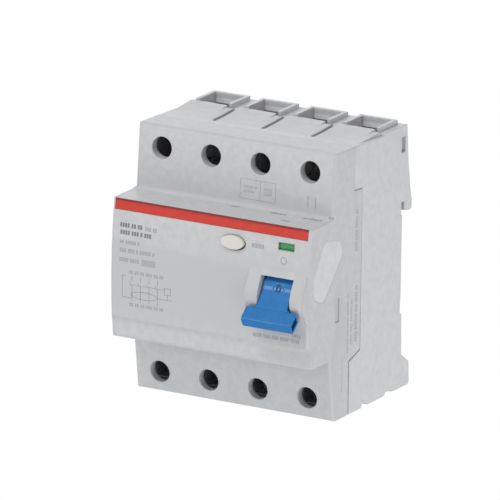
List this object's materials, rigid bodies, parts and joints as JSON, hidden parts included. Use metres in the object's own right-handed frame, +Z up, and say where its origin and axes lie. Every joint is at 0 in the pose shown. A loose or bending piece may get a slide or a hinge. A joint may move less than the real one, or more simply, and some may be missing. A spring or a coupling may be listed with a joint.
{
  "type": "residual current device",
  "caption": "Residual current device for a 35 mm rail: grey moulded housing, blue toggle, test button, position window and cage terminals at top and bottom.",
  "frame": {"origin": "middle of the width, middle of the rail height, on the flat seat that rests on the rail", "axes": "+X to the right seen from the front, +Y into the panel towards the rail, +Z up; the front of the device faces -Y"},
  "size_m": [0.07, 0.0722, 0.0875],
  "materials": {
    "cover_plastic": "moulded, fine matt grain",
    "base_plastic": "moulded, fine matt grain",
    "plug_plastic": "moulded, matt",
    "red_plastic": "printed red, satin",
    "blue_plastic": "moulded, satin gloss",
    "green_plastic": "moulded, matt",
    "ivory_plastic": "moulded, satin",
    "clip_plastic": "moulded, matt",
    "dark_plastic": "moulded, matt",
    "zinc_screw": "zinc plated",
    "zinc_cage": "zinc plated",
    "copper": "bare copper alloy",
    "wire_sleeve": "insulated conductor",
    "silver_tip": "silver alloy",
    "fibre": "vulcanised fibre",
    "board_green": "lacquered board",
    "component_brown": "lacquered components",
    "core_alloy": "wound alloy strip",
    "spring_steel": "bright steel"
  },
  "bodies": {
    "housing": {"front_cover": "cover_plastic", "rear_base": "base_plastic", "red_band": "red_plastic", "side_plug": "plug_plastic", "housing_screws": "zinc_screw", "clip_spring": "spring_steel", "handle_axle": "spring_steel", "handle_spring": "spring_steel", "test_spring": "spring_steel", "button_retainer": "dark_plastic", "test_contacts": "copper", "test_resistor": "component_brown", "line_strips": "copper", "load_strips": "copper", "load_conductors": "wire_sleeve", "opening_spring": "spring_steel", "fixed_contact_tips": "silver_tip", "arc_plates": "spring_steel", "arc_chute_holders": "fibre", "toroid_core": "core_alloy", "core_case": "dark_plastic", "core_case_lid": "dark_plastic", "secondary_winding": "copper", "relay_case": "dark_plastic", "relay_coil": "copper", "mechanism_frame": "spring_steel", "mechanism_pins": "spring_steel", "circuit_board": "board_green", "board_components": "component_brown"},
    "handle": {"handle": "blue_plastic"},
    "link": {"handle_link": "spring_steel"},
    "contact_bar": {"contact_carrier": "dark_plastic", "contact_arms": "copper", "contact_springs": "spring_steel", "moving_contact_tips": "silver_tip"},
    "position_flag": {"indicator_flag": "green_plastic", "indicator_red_face": "red_plastic"},
    "test_button": {"test_button": "ivory_plastic", "test_bridge": "copper"},
    "trip_lever": {"trip_lever": "spring_steel"},
    "latch": {"latch": "spring_steel"},
    "relay_plunger": {"relay_plunger": "spring_steel"},
    "rail_clip": {"din_clip": "clip_plastic"},
    "screw_1": {"terminal_screw_1": "zinc_screw"},
    "cage_1": {"terminal_cage_1": "zinc_cage"},
    "screw_2": {"terminal_screw_2": "zinc_screw"},
    "cage_2": {"terminal_cage_2": "zinc_cage"},
    "screw_3": {"terminal_screw_3": "zinc_screw"},
    "cage_3": {"terminal_cage_3": "zinc_cage"},
    "screw_4": {"terminal_screw_4": "zinc_screw"},
    "cage_4": {"terminal_cage_4": "zinc_cage"},
    "screw_5": {"terminal_screw_5": "zinc_screw"},
    "cage_5": {"terminal_cage_5": "zinc_cage"},
    "screw_6": {"terminal_screw_6": "zinc_screw"},
    "cage_6": {"terminal_cage_6": "zinc_cage"},
    "screw_7": {"terminal_screw_7": "zinc_screw"},
    "cage_7": {"terminal_cage_7": "zinc_cage"},
    "screw_8": {"terminal_screw_8": "zinc_screw"},
    "cage_8": {"terminal_cage_8": "zinc_cage"}
  },
  "joints": [
    {"name": "handle_pivot", "type": "hinge", "parent": "housing", "child": "handle", "pos_m": [0.0245, -0.0523, 0], "axis": [-1, 0, 0], "range_deg": [0, 38], "deforming": ["handle_spring"]},
    {"name": "link_pivot", "type": "hinge", "parent": "handle", "child": "link", "pos_m": [0.0215, -0.05399, 0.00492], "axis": [-1, 0, 0], "range_deg": [-38.5, 0.5]},
    {"name": "contact_bar_pivot", "type": "hinge", "parent": "housing", "child": "contact_bar", "pos_m": [0, -0.02, 0], "axis": [-1, 0, 0], "range_deg": [-0.1, 22.1], "deforming": ["opening_spring"]},
    {"name": "flag_turn", "type": "hinge", "parent": "housing", "child": "position_flag", "pos_m": [0.02695, -0.0535, 0.0161], "axis": [-1, 0, 0], "range_deg": [0, 70.2]},
    {"name": "test_button_press", "type": "slide", "parent": "housing", "child": "test_button", "axis": [0, 1, 0], "range_m": [0, 0.0018], "deforming": ["test_spring"]},
    {"name": "trip_lever_pivot", "type": "hinge", "parent": "housing", "child": "trip_lever", "pos_m": [0.0193, -0.04, -0.005], "axis": [1, 0, 0], "range_deg": [0, 11]},
    {"name": "latch_pivot", "type": "hinge", "parent": "housing", "child": "latch", "pos_m": [0.0193, -0.033, 0], "axis": [-1, 0, 0], "range_deg": [-0.1, 9]},
    {"name": "relay_plunger_slide", "type": "slide", "parent": "housing", "child": "relay_plunger", "axis": [0, 1, 0], "range_m": [0, 0.00132]},
    {"name": "rail_clip_slide", "type": "slide", "parent": "housing", "child": "rail_clip", "axis": [0, 0, -1], "range_m": [0, 0.0045], "deforming": ["clip_spring"]},
    {"name": "screw_1_turn", "type": "hinge", "parent": "housing", "child": "screw_1", "pos_m": [-0.02625, -0.03, 0.0361], "axis": [0, 1, 0], "range_deg": [0, 2701]},
    {"name": "cage_1_lift", "type": "slide", "parent": "housing", "child": "cage_1", "axis": [0, -1, 0], "range_m": [0, 0.006]},
    {"name": "screw_2_turn", "type": "hinge", "parent": "housing", "child": "screw_2", "pos_m": [-0.00875, -0.03, 0.0361], "axis": [0, 1, 0], "range_deg": [0, 2701]},
    {"name": "cage_2_lift", "type": "slide", "parent": "housing", "child": "cage_2", "axis": [0, -1, 0], "range_m": [0, 0.006]},
    {"name": "screw_3_turn", "type": "hinge", "parent": "housing", "child": "screw_3", "pos_m": [0.00875, -0.03, 0.0361], "axis": [0, 1, 0], "range_deg": [0, 2701]},
    {"name": "cage_3_lift", "type": "slide", "parent": "housing", "child": "cage_3", "axis": [0, -1, 0], "range_m": [0, 0.006]},
    {"name": "screw_4_turn", "type": "hinge", "parent": "housing", "child": "screw_4", "pos_m": [0.02625, -0.03, 0.0361], "axis": [0, 1, 0], "range_deg": [0, 2701]},
    {"name": "cage_4_lift", "type": "slide", "parent": "housing", "child": "cage_4", "axis": [0, -1, 0], "range_m": [0, 0.006]},
    {"name": "screw_5_turn", "type": "hinge", "parent": "housing", "child": "screw_5", "pos_m": [-0.02625, -0.0345, -0.0358], "axis": [0, 1, 0], "range_deg": [0, 2701]},
    {"name": "cage_5_lift", "type": "slide", "parent": "housing", "child": "cage_5", "axis": [0, -1, 0], "range_m": [0, 0.006]},
    {"name": "screw_6_turn", "type": "hinge", "parent": "housing", "child": "screw_6", "pos_m": [-0.00875, -0.0345, -0.0358], "axis": [0, 1, 0], "range_deg": [0, 2701]},
    {"name": "cage_6_lift", "type": "slide", "parent": "housing", "child": "cage_6", "axis": [0, -1, 0], "range_m": [0, 0.006]},
    {"name": "screw_7_turn", "type": "hinge", "parent": "housing", "child": "screw_7", "pos_m": [0.00875, -0.0345, -0.0358], "axis": [0, 1, 0], "range_deg": [0, 2701]},
    {"name": "cage_7_lift", "type": "slide", "parent": "housing", "child": "cage_7", "axis": [0, -1, 0], "range_m": [0, 0.006]},
    {"name": "screw_8_turn", "type": "hinge", "parent": "housing", "child": "screw_8", "pos_m": [0.02625, -0.0345, -0.0358], "axis": [0, 1, 0], "range_deg": [0, 2701]},
    {"name": "cage_8_lift", "type": "slide", "parent": "housing", "child": "cage_8", "axis": [0, -1, 0], "range_m": [0, 0.006]}
  ],
  "couplings": [
    {"joint": "link_pivot", "follows": "handle_pivot", "ratio": -1},
    {"joint": "contact_bar_pivot", "follows": "handle_pivot", "ratio": 0.57895},
    {"joint": "flag_turn", "follows": "handle_pivot", "ratio": 1.8421},
    {"joint": "trip_lever_pivot", "follows": "relay_plunger_slide", "rad_per_m": 145},
    {"joint": "latch_pivot", "follows": "relay_plunger_slide", "rad_per_m": 116},
    {"joint": "screw_1_turn", "follows": "cage_1_lift", "rad_per_m": 7854},
    {"joint": "screw_2_turn", "follows": "cage_2_lift", "rad_per_m": 7854},
    {"joint": "screw_3_turn", "follows": "cage_3_lift", "rad_per_m": 7854},
    {"joint": "screw_4_turn", "follows": "cage_4_lift", "rad_per_m": 7854},
    {"joint": "screw_5_turn", "follows": "cage_5_lift", "rad_per_m": 7854},
    {"joint": "screw_6_turn", "follows": "cage_6_lift", "rad_per_m": 7854},
    {"joint": "screw_7_turn", "follows": "cage_7_lift", "rad_per_m": 7854},
    {"joint": "screw_8_turn", "follows": "cage_8_lift", "rad_per_m": 7854}
  ]
}
